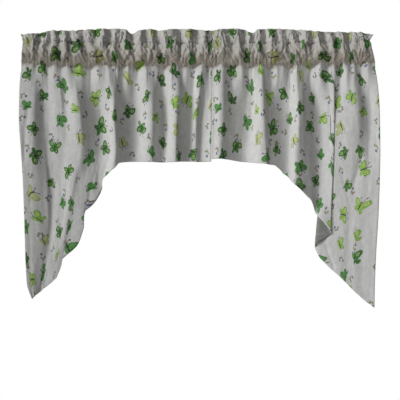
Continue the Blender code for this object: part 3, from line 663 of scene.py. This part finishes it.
    front = (~on_drop) & (np.arange(len(X))[:, None] >= first_drop - ROWS["ruffle"] - ROWS["pocket"])
    curls = [(((a, 32.0), (0.65 * a + 0.35 * b, 38.0), (b, 47.0)), wide, deep)
             for a, b, wide, deep in panel["curls"]]
    for points, wide, deep in list(panel["tucks"]) + curls:
        d, s = to_line(X, Y, points)
        fade = smooth(np.clip(np.minimum(s, 1 - s) * 4.0, 0, 1))
        OUT = OUT + front * 0.001 * deep * np.exp(-(d / wide) ** 2) * (0.2 + 0.8 * fade)

    hem_d = np.minimum(us, CUT_WIDTH - us)[None, :] * np.ones_like(X)
    perp = (y_hem[None, :] - Y) * UNIT / slant[None, :]
    hem_d = np.where(on_drop, np.minimum(hem_d, perp), hem_d)

    n_row = len(X)
    co = np.stack([wx(X), -OUT, wz(Y)], axis=-1)            # row, column, xyz
    verts = co.reshape(-1, 3)
    idx = np.arange(n_row * n_col).reshape(n_row, n_col)
    a, b = idx[:-1, :-1].ravel(), idx[:-1, 1:].ravel()
    c, d = idx[1:, 1:].ravel(), idx[1:, :-1].ravel()
    # the printed face looks out of the folded heading and towards the room
    faces = np.stack([a, d, c, b], axis=1)
    me = bpy.data.meshes.new(panel["name"] + "_swag_cloth")
    me.vertices.add(len(verts))
    me.vertices.foreach_set("co", verts.ravel())
    me.loops.add(faces.size)
    me.loops.foreach_set("vertex_index", faces.ravel())
    me.polygons.add(len(faces))
    me.polygons.foreach_set("loop_start", np.arange(0, faces.size, 4))
    me.polygons.foreach_set("use_smooth", np.ones(len(faces), bool))
    me.update(calc_edges=True)
    me.validate()
    uv = me.uv_layers.new(name="cloth")
    flat_uv = np.stack([np.broadcast_to(us[None, :], V.shape), V], axis=-1).reshape(-1, 2)
    uv.data.foreach_set("uv", flat_uv[faces.ravel()].ravel())
    att = me.attributes.new("hem", "FLOAT", "POINT")
    att.data.foreach_set("value", hem_d.ravel())
    obj = bpy.data.objects.new(panel["name"] + "_swag_cloth", me)
    bpy.context.scene.collection.objects.link(obj)
    thick = obj.vertex_groups.new(name="layers")
    w = CLOTH / HEM + (1.0 - CLOTH / HEM) * (1.0 - smooth((hem_d.ravel() - HEM_WIDE) / 0.0010))
    levels_w = np.round(w, 2)
    for value in np.unique(levels_w):
        thick.add(np.nonzero(levels_w == value)[0].tolist(), float(value), "REPLACE")
    shell = obj.modifiers.new("thickness", "SOLIDIFY")
    shell.thickness = HEM
    shell.offset = -1.0
    shell.vertex_group = "layers"
    shell.use_even_offset = False
    shell.material_offset = 1
    shell.material_offset_rim = 0
    area = 0.0
    e1 = np.diff(us)
    # flat area: the heading in full, and the drop down to its slanted hem
    drop_flat = (y_hem - y_low) * UNIT
    area = float(np.sum(0.5 * (drop_flat[1:] + drop_flat[:-1]) * e1)) + CUT_WIDTH * (v0 + 0.006)
    length = float(drop_flat.max()) + v0 + 0.006
    return obj, (CUT_WIDTH, length), area


# ----------------------------------------------------------------- materials
class Num:
    """A number inside a node tree, so that formulas read as plain sums."""

    def __init__(self, tree, socket):
        self.tree, self.socket = tree, socket

    def _op(self, kind, *others):
        node = self.tree.nodes.new("ShaderNodeMath")
        node.operation = kind
        for slot, value in enumerate((self,) + others):
            if isinstance(value, Num):
                self.tree.links.new(value.socket, node.inputs[slot])
            else:
                node.inputs[slot].default_value = float(value)
        return Num(self.tree, node.outputs[0])

    def __add__(self, o): return self._op("ADD", o)
    def __radd__(self, o): return self._op("ADD", o)
    def __sub__(self, o): return self._op("SUBTRACT", o)
    def __rsub__(self, o): return (self * -1.0)._op("ADD", o)
    def __mul__(self, o): return self._op("MULTIPLY", o)
    def __rmul__(self, o): return self._op("MULTIPLY", o)
    def __truediv__(self, o): return self._op("DIVIDE", o)
    def floor(self): return self._op("FLOOR")
    def fract(self): return self._op("FRACT")
    def abs(self): return self._op("ABSOLUTE")
    def sin(self): return self._op("SINE")
    def cos(self): return self._op("COSINE")
    def sqrt(self): return self._op("SQRT")
    def less(self, o): return self._op("LESS_THAN", o)
    def more(self, o): return self._op("GREATER_THAN", o)
    def min(self, o): return self._op("MINIMUM", o)
    def max(self, o): return self._op("MAXIMUM", o)
    def pow(self, o): return self._op("POWER", o)

    def step(self, a, b):
        """0 at a, 1 at b, smooth between."""
        node = self.tree.nodes.new("ShaderNodeMapRange")
        node.interpolation_type = "SMOOTHSTEP"
        self.tree.links.new(self.socket, node.inputs[0])
        node.inputs[1].default_value, node.inputs[2].default_value = (a, b) if a < b else (b, a)
        node.inputs[3].default_value, node.inputs[4].default_value = (0.0, 1.0) if a < b else (1.0, 0.0)
        return Num(self.tree, node.outputs[0])


def srgb(r, g, b):
    def lin(c):
        c /= 255.0
        return c / 12.92 if c <= 0.04045 else ((c + 0.055) / 1.055) ** 2.4
    return (lin(r), lin(g), lin(b), 1.0)


def mix(tree, factor, a, b, blend="MIX"):
    node = tree.nodes.new("ShaderNodeMix")
    node.data_type = "RGBA"
    node.blend_type = blend
    for value, slot in ((factor, 0), (a, 6), (b, 7)):
        if isinstance(value, Num):
            tree.links.new(value.socket, node.inputs[slot])
        elif isinstance(value, (int, float)):
            node.inputs[slot].default_value = value
        elif isinstance(value, tuple):
            node.inputs[slot].default_value = value
        else:
            tree.links.new(value, node.inputs[slot])
    return node.outputs[2]


def vector(tree, x, y, z=0.0):
    node = tree.nodes.new("ShaderNodeCombineXYZ")
    for slot, value in enumerate((x, y, z)):
        if isinstance(value, Num):
            tree.links.new(value.socket, node.inputs[slot])
        else:
            node.inputs[slot].default_value = value
    return node.outputs[0]


def noise_of(tree, vec, scale, detail=2.0, roughness=0.5):
    node = tree.nodes.new("ShaderNodeTexNoise")
    node.noise_dimensions = "3D"
    tree.links.new(vec, node.inputs["Vector"])
    node.inputs["Scale"].default_value = scale
    node.inputs["Detail"].default_value = detail
    node.inputs["Roughness"].default_value = roughness
    return Num(tree, node.outputs["Fac"])


def dice(tree, x, y, seed):
    """Three random numbers for a cell."""
    node = tree.nodes.new("ShaderNodeTexWhiteNoise")
    node.noise_dimensions = "3D"
    tree.links.new(vector(tree, x, y, seed), node.inputs["Vector"])
    parts = tree.nodes.new("ShaderNodeSeparateColor")
    tree.links.new(node.outputs["Color"], parts.inputs[0])
    return [Num(tree, parts.outputs[i]) for i in range(3)]


def ramp(tree, factor, stops, interpolation="CONSTANT"):
    node = tree.nodes.new("ShaderNodeValToRGB")
    node.color_ramp.interpolation = interpolation
    elements = node.color_ramp.elements
    while len(elements) < len(stops):
        elements.new(0.5)
    for element, (at, colour) in zip(elements, stops):
        element.position = at
        element.color = colour
    tree.links.new(factor.socket, node.inputs[0])
    return node.outputs[0]


def ellipse(x, y, cx, cy, a, b, angle):
    """Below 0 inside a turned ellipse; about millimetres near its edge."""
    ca, sa = math.cos(math.radians(angle)), math.sin(math.radians(angle))
    dx, dy = x - cx, y - cy
    u = (dx * ca + dy * sa) / a
    v = (dy * ca - dx * sa) / b
    return ((u * u + v * v).sqrt() - 1.0) * min(a, b)


def scattered(tree, u, v, cell, wander, seed, shift):
    """Place in the nearest motif's own axes, and its random numbers."""
    lean = math.radians(24.0)
    u, v = u * math.cos(lean) + v * math.sin(lean), v * math.cos(lean) - u * math.sin(lean)
    row = (v / cell + shift).floor()
    slide = dice(tree, row, row * 0.37, seed + 0.5)[0]
    us = u / cell + slide * 3.0 + shift
    col = us.floor()
    h = dice(tree, col, row, seed)
    g = dice(tree, col, row, seed + 7.3)
    x = (us - col - 0.5) * cell - (h[0] - 0.5) * wander
    y = (v / cell + shift - row - 0.5) * cell - (h[1] - 0.5) * wander
    angle = h[2] * (2.0 * math.pi)
    ca, sa = angle.cos(), angle.sin()
    return x * ca + y * sa, y * ca - x * sa, g


def butterflies(tree, u, v, ground):
    """The print: butterflies in four colourings, at random angles."""
    uv = vector(tree, u, v)
    wobble = noise_of(tree, uv, 0.30, 2.0) - 0.5
    wobble2 = noise_of(tree, vector(tree, u + 91.0, v + 37.0), 0.30, 2.0) - 0.5
    qx, qy, g = scattered(tree, u, v, 90.0, 34.0, 11.0, 0.0)
    size = 1.20 + g[1] * 0.38
    qx = qx / size + wobble * 3.0
    qy = qy / size + wobble2 * 3.0
    # some butterflies are seen half from the side: one pair of wings is narrow
    folded = g[2].step(0.34, 0.50) * 0.66
    left_half = qx.less(0.0)
    squeeze = 1.0 - left_half * folded
    qx = qx / squeeze
    ax = qx.abs()
    upper = ellipse(ax, qy, 9.6, 5.6, 10.4, 7.2, 32.0)
    small = g[1].step(0.40, 0.62)
    lower = ellipse(ax, qy, 7.0, -7.2, 7.6, 6.0, -38.0) + small * 1.3
    wings = upper.min(lower)
    spot_u = ellipse(ax, qy, 11.0, 7.2, 4.3, 3.3, 30.0)
    spot_l = ellipse(ax, qy, 7.8, -8.0, 2.8, 2.4, -30.0) + small * 3.0
    spot = spot_u.min(spot_l)
    core = ellipse(ax, qy, 11.4, 7.6, 2.0, 1.5, 30.0)
    body = ellipse(qx, qy, 0.0, -0.6, 1.9, 9.6, 0.0)
    head = ellipse(qx, qy, 0.0, 9.8, 2.1, 2.1, 0.0)
    up = (qy - 10.0).max(0.0)
    feeler = (ax - (0.7 + up * 0.42 + up * up * 0.045)).abs() - 0.75
    feeler = feeler.max(qy * -1.0 + 10.0).max(qy - 18.0)
    knob = ellipse(ax, qy, 6.4, 18.2, 1.5, 1.5, 0.0)
    feeler = feeler.min(knob)

    kind = g[0]
    wing_in = ramp(tree, kind, [(0.0, srgb(60, 124, 36)), (0.30, srgb(92, 160, 74)),
                                (0.55, srgb(172, 208, 96)), (0.78, srgb(74, 142, 40)),
                                (0.90, srgb(206, 214, 160))])
    wing_out = ramp(tree, kind, [(0.0, srgb(38, 94, 22)), (0.30, srgb(62, 128, 50)),
                                 (0.55, srgb(116, 172, 66)), (0.78, srgb(46, 108, 26)),
                                 (0.90, srgb(170, 184, 104))])
    rim_col = ramp(tree, kind, [(0.0, srgb(26, 70, 14)), (0.30, srgb(46, 104, 36)),
                                (0.55, srgb(96, 148, 48)), (0.78, srgb(30, 78, 16)),
                                (0.90, srgb(112, 118, 62))])
    spot_col = ramp(tree, kind, [(0.0, srgb(178, 210, 138)), (0.30, srgb(132, 188, 118)),
                                 (0.55, srgb(216, 228, 150)), (0.78, srgb(180, 212, 136)),
                                 (0.90, srgb(224, 226, 190))])
    body_col = ramp(tree, kind, [(0.0, srgb(22, 44, 10)), (0.30, srgb(34, 38, 22)),
                                 (0.55, srgb(44, 92, 20)), (0.78, srgb(18, 40, 8)),
                                 (0.90, srgb(66, 48, 30))])
    wash = noise_of(tree, uv, 0.16, 3.0, 0.6).step(0.36, 0.64)
    out_wards = ((qx * qx + qy * qy).sqrt()).step(7.0, 19.0)
    wing_col = mix(tree, (wash * 0.65 + out_wards * 0.35).min(1.0), wing_in, wing_out)
    rim = wings.step(-2.2, -0.2)
    wing_col = mix(tree, rim * 0.42, wing_col, rim_col)
    has_spot = kind.less(0.30).max(kind.more(0.55) * kind.less(0.90))
    wing_col = mix(tree, spot.step(0.5, -0.3) * (0.20 + has_spot * 0.52), wing_col, spot_col)
    wing_col = mix(tree, core.step(0.4, -0.3) * has_spot * 0.7, wing_col, wing_out)
    on_wing = wings.step(0.9, -0.7)
    on_body = body.min(head).step(0.35, -0.35)
    on_feeler = feeler.step(0.3, -0.3)
    faint = noise_of(tree, uv, 0.45, 2.0).step(0.25, 0.55) * 0.25 + 0.75
    colour = mix(tree, on_feeler * 0.88, ground, srgb(48, 34, 24))
    colour = mix(tree, on_wing * faint, colour, wing_col)
    colour = mix(tree, on_body * 0.92, colour, body_col)
    mask = on_wing.max(on_body).max(on_feeler)
    return colour, mask


def twigs(tree, u, v, ground):
    """Small olive sprigs with a slate-blue berry, between the butterflies."""
    qx, qy, g = scattered(tree, u, v, 90.0, 26.0, 23.0, 0.5)
    uv = vector(tree, u, v)
    qx = (qx + (noise_of(tree, uv, 0.5, 1.0) - 0.5) * 1.6) / 1.35
    qy = qy / 1.35
    stem = ellipse(qx, qy, 0.0, 0.0, 7.4, 1.1, 0.0)
    leaf_a = ellipse(qx, qy, 4.0, 2.7, 3.6, 1.9, 40.0)
    leaf_b = ellipse(qx, qy, -0.6, -2.7, 3.4, 1.8, -42.0)
    leaf_c = ellipse(qx, qy, -6.2, 1.8, 3.0, 1.9, 60.0)
    sprig = stem.min(leaf_a).min(leaf_b).min(leaf_c)
    berry = ellipse(qx, qy, -6.0, 9.5, 3.4, 3.4, 0.0)
    centre = ellipse(qx, qy, -6.0, 9.5, 1.2, 1.2, 0.0)
    there = g[0].less(0.82)
    on_sprig = sprig.step(0.4, -0.4) * there
    on_berry = berry.step(0.4, -0.4) * there * g[1].less(0.8)
    sprig_col = ramp(tree, g[2], [(0.0, srgb(118, 108, 66)), (0.5, srgb(134, 142, 84)),
                                  (0.8, srgb(96, 84, 60))])
    colour = mix(tree, on_sprig * 0.85, ground, sprig_col)
    colour = mix(tree, on_berry * 0.9, colour, srgb(86, 108, 142))
    colour = mix(tree, centre.step(0.4, -0.4) * there * g[1].less(0.4), colour, srgb(186, 200, 214))
    return colour, on_sprig.max(on_berry)


def cotton(name, wrong_side):
    """Printed cotton; on the wrong side the print only shows faintly through."""
    mat = bpy.data.materials.new(name)
    mat.use_nodes = True
    tree = mat.node_tree
    shader = tree.nodes["Principled BSDF"]
    shader.inputs["Roughness"].default_value = 0.9
    shader.inputs["Specular IOR Level"].default_value = 0.25
    shader.inputs["Sheen Weight"].default_value = 0.08
    shader.inputs["Sheen Roughness"].default_value = 0.6
    uvmap = tree.nodes.new("ShaderNodeUVMap")
    uvmap.uv_map = "cloth"
    split = tree.nodes.new("ShaderNodeSeparateXYZ")
    tree.links.new(uvmap.outputs[0], split.inputs[0])
    u = Num(tree, split.outputs[0]) * 1000.0
    v = Num(tree, split.outputs[1]) * 1000.0
    hem_node = tree.nodes.new("ShaderNodeAttribute")
    hem_node.attribute_name = "hem"
    hem = Num(tree, hem_node.outputs["Fac"]) * 1000.0

    # ground: pale grey cotton, mottled, with uneven threads both ways
    across = noise_of(tree, vector(tree, u * 0.05, v * 1.1), 1.0, 3.0, 0.6)
    down = noise_of(tree, vector(tree, u * 1.1, v * 0.05), 1.0, 3.0, 0.6)
    cloud = noise_of(tree, vector(tree, u, v), 0.045, 4.0, 0.6)
    slub = noise_of(tree, vector(tree, u * 0.035, v * 0.26), 1.0, 2.0) + noise_of(tree, vector(tree, u * 0.26, v * 0.035), 1.0, 2.0)
    tone = (slub - 1.0) * 0.22 + (across - 0.5) * 0.34 + (down - 0.5) * 0.34 + (cloud - 0.5) * 0.34 + 0.5
    ground = ramp(tree, tone, [(0.30, srgb(196, 196, 193)), (0.50, srgb(216, 216, 214)),
                               (0.70, srgb(231, 231, 230))], "LINEAR")
    colour, on_twig = twigs(tree, u, v, ground)
    colour, on_print = butterflies(tree, u, v, colour)
    if wrong_side:
        # the wrong side is the plain cloth made much darker: partly the duller unprinted back, partly painted
        # shade of the turned-back cloth
        plain = mix(tree, 1.0, ground, srgb(158, 158, 156), "MULTIPLY")
        colour = mix(tree, 0.08, plain, colour)

    # painted shade: the lower part of the pocket, from about the lower stitched line up, with ragged edges, is
    # darkened and tinted slightly brown for the shade among its tight gathers
    painted_pocket_shade = (v + (cloud - 0.5) * 50.0).step(-12.0, 8.0) * (v + (cloud - 0.5) * 90.0).step(62.0, 10.0)
    colour = mix(tree, painted_pocket_shade * (cloud * 0.5 + 0.55).min(1.0), colour, srgb(238, 229, 217), "MULTIPLY")
    # painted shade: the whole heading is greyed a little, the ruffle less, fading out just below the lower
    # stitched line
    gathered = (v + (cloud - 0.5) * 50.0).step(-14.0, 6.0) * (1.0 - v.step(76.0, 86.0) * 0.45)
    colour = mix(tree, gathered, colour, srgb(224, 220, 215), "MULTIPLY")

    # sewing thread: along the hems, and at the two stitched lines
    dash_u = (u / 2.6).fract().step(0.08, 0.22) * (u / 2.6).fract().step(0.92, 0.78)
    dash_v = (v / 2.6).fract().step(0.08, 0.22) * (v / 2.6).fract().step(0.92, 0.78)
    at_hem = (hem - 10.0).abs().step(0.55, 0.25)
    low, up = v.abs(), (v - 79.0).abs()
    at_seam = low.min(up).step(0.55, 0.25)
    thread = (at_hem * dash_u.max(dash_v)).max(at_seam * dash_u)
    colour = mix(tree, thread * 0.35, colour, srgb(196, 196, 190))
    tree.links.new(colour, shader.inputs["Base Color"])

    # bump: plain weave, slubs, the sewn-down lines
    weave = ((u * (2 * math.pi / 0.9)).sin() * (v * (2 * math.pi / 0.9)).sin())
    lines = (hem - 10.0).abs().step(1.6, 0.0) + low.min(up).step(2.2, 0.0) * 0.35
    height = weave * 0.05 + (across + down) * 0.22 + (cloud - 0.5) * 0.5 - lines * 0.35 + thread * 0.2
    bump = tree.nodes.new("ShaderNodeBump")
    bump.inputs["Strength"].default_value = 0.35
    bump.inputs["Distance"].default_value = 0.0008
    tree.links.new(height.socket, bump.inputs["Height"])
    tree.links.new(bump.outputs[0], shader.inputs["Normal"])
    return mat


# ---------------------------------------------------------------------- make
printed = cotton("printed_cotton", False)
wrong = cotton("printed_cotton_wrong_side", True)
cloths = []
for panel in PANELS:
    obj, flat, area = build_cloth(panel)
    obj.data.materials.append(printed)
    obj.data.materials.append(wrong)
    name = panel["name"]
    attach(obj, "root")
    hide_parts(name + "_panel", name + "_heading")
    name + "_drop_cotton"
    cloths.append(obj)
    print(obj.name, "flat", [round(f, 4) for f in flat], "area", round(area, 4),
          "verts", len(obj.data.vertices))

# --------------------------------------------------------------------- stage
floor_mesh = bpy.data.meshes.new("studio_floor")
floor_mesh.from_pydata([(-4, -4, -1.6), (4, -4, -1.6), (4, 2.4, -1.6), (-4, 2.4, -1.6)], [], [(0, 1, 2, 3)])
floor = bpy.data.objects.new("studio_floor", floor_mesh)
bpy.context.scene.collection.objects.link(floor)
floor_mat = bpy.data.materials.new("pale_floor")
floor_mat.use_nodes = True
floor_mat.node_tree.nodes["Principled BSDF"].inputs["Base Color"].default_value = (0.8, 0.8, 0.79, 1.0)
floor_mat.node_tree.nodes["Principled BSDF"].inputs["Roughness"].default_value = 0.8
floor_mesh.materials.append(floor_mat)

world = bpy.data.worlds.new("studio")
bpy.context.scene.world = world
world.use_nodes = True
wt = world.node_tree
for node in list(wt.nodes):
    wt.nodes.remove(node)
soft = wt.nodes.new("ShaderNodeBackground")
soft.inputs["Color"].default_value = (1.0, 0.99, 0.97, 1.0)
soft.inputs["Strength"].default_value = 0.010
white = wt.nodes.new("ShaderNodeBackground")
white.inputs["Color"].default_value = (1.0, 1.0, 1.0, 1.0)
white.inputs["Strength"].default_value = 1.0
path = wt.nodes.new("ShaderNodeLightPath")
both = wt.nodes.new("ShaderNodeMixShader")
out = wt.nodes.new("ShaderNodeOutputWorld")
wt.links.new(path.outputs["Is Camera Ray"], both.inputs[0])
wt.links.new(soft.outputs[0], both.inputs[1])
wt.links.new(white.outputs[0], both.inputs[2])
wt.links.new(both.outputs[0], out.inputs[0])


def area_light(name, place, target, size, power, colour):
    data = bpy.data.lights.new(name, "AREA")
    data.shape = "DISK"
    data.size = size
    data.energy = power
    data.color = colour
    obj = bpy.data.objects.new(name, data)
    obj.location = place
    aim = Vector(target) - Vector(place)
    obj.rotation_mode = "QUATERNION"
    obj.rotation_quaternion = aim.to_track_quat("-Z", "Y")
    bpy.context.scene.collection.objects.link(obj)
    return obj


area_light("key", (-7.8, -4.7, 4.6), (0.0, 0.0, -0.45), 5.0, 785.0, (1.0, 1.0, 1.0))
area_light("fill", (3.0, -5.0, 0.6), (0.0, 0.0, -0.45), 3.0, 4.0, (1.0, 0.97, 0.93))
area_light("back_fill", (2.2, 4.6, 2.6), (0.0, 0.4, -0.9), 4.0, 140.0, (1.0, 1.0, 1.0))

spot_data = bpy.data.lights.new("soft_spot", "SPOT")
spot_data.energy = 150.0
spot_data.spot_size = math.radians(22.0)
spot_data.spot_blend = 1.0
spot_data.shadow_soft_size = 0.4
spot = bpy.data.objects.new("soft_spot", spot_data)
spot.location = (-1.6, -4.6, 0.5)
spot.rotation_mode = "QUATERNION"
spot.rotation_quaternion = (Vector((0.62, 0.0, -0.50)) - spot.location).to_track_quat("-Z", "Y")
bpy.context.scene.collection.objects.link(spot)

# -------------------------------------------------------------------- camera
camera_data = bpy.data.cameras.new("camera")
camera = bpy.data.objects.new("camera", camera_data)
bpy.context.scene.collection.objects.link(camera)
camera.location = ((200.0 - MID_X) * UNIT, -6.0, wz(200.0))
camera.rotation_euler = (math.pi / 2, 0.0, 0.0)
camera_data.sensor_width = 36.0
camera_data.lens = 36.0 * 6.0 / (400.0 * UNIT)
bpy.context.scene.camera = camera
bpy.context.scene.view_settings.view_transform = "Standard"
bpy.context.scene.view_settings.look = "None"
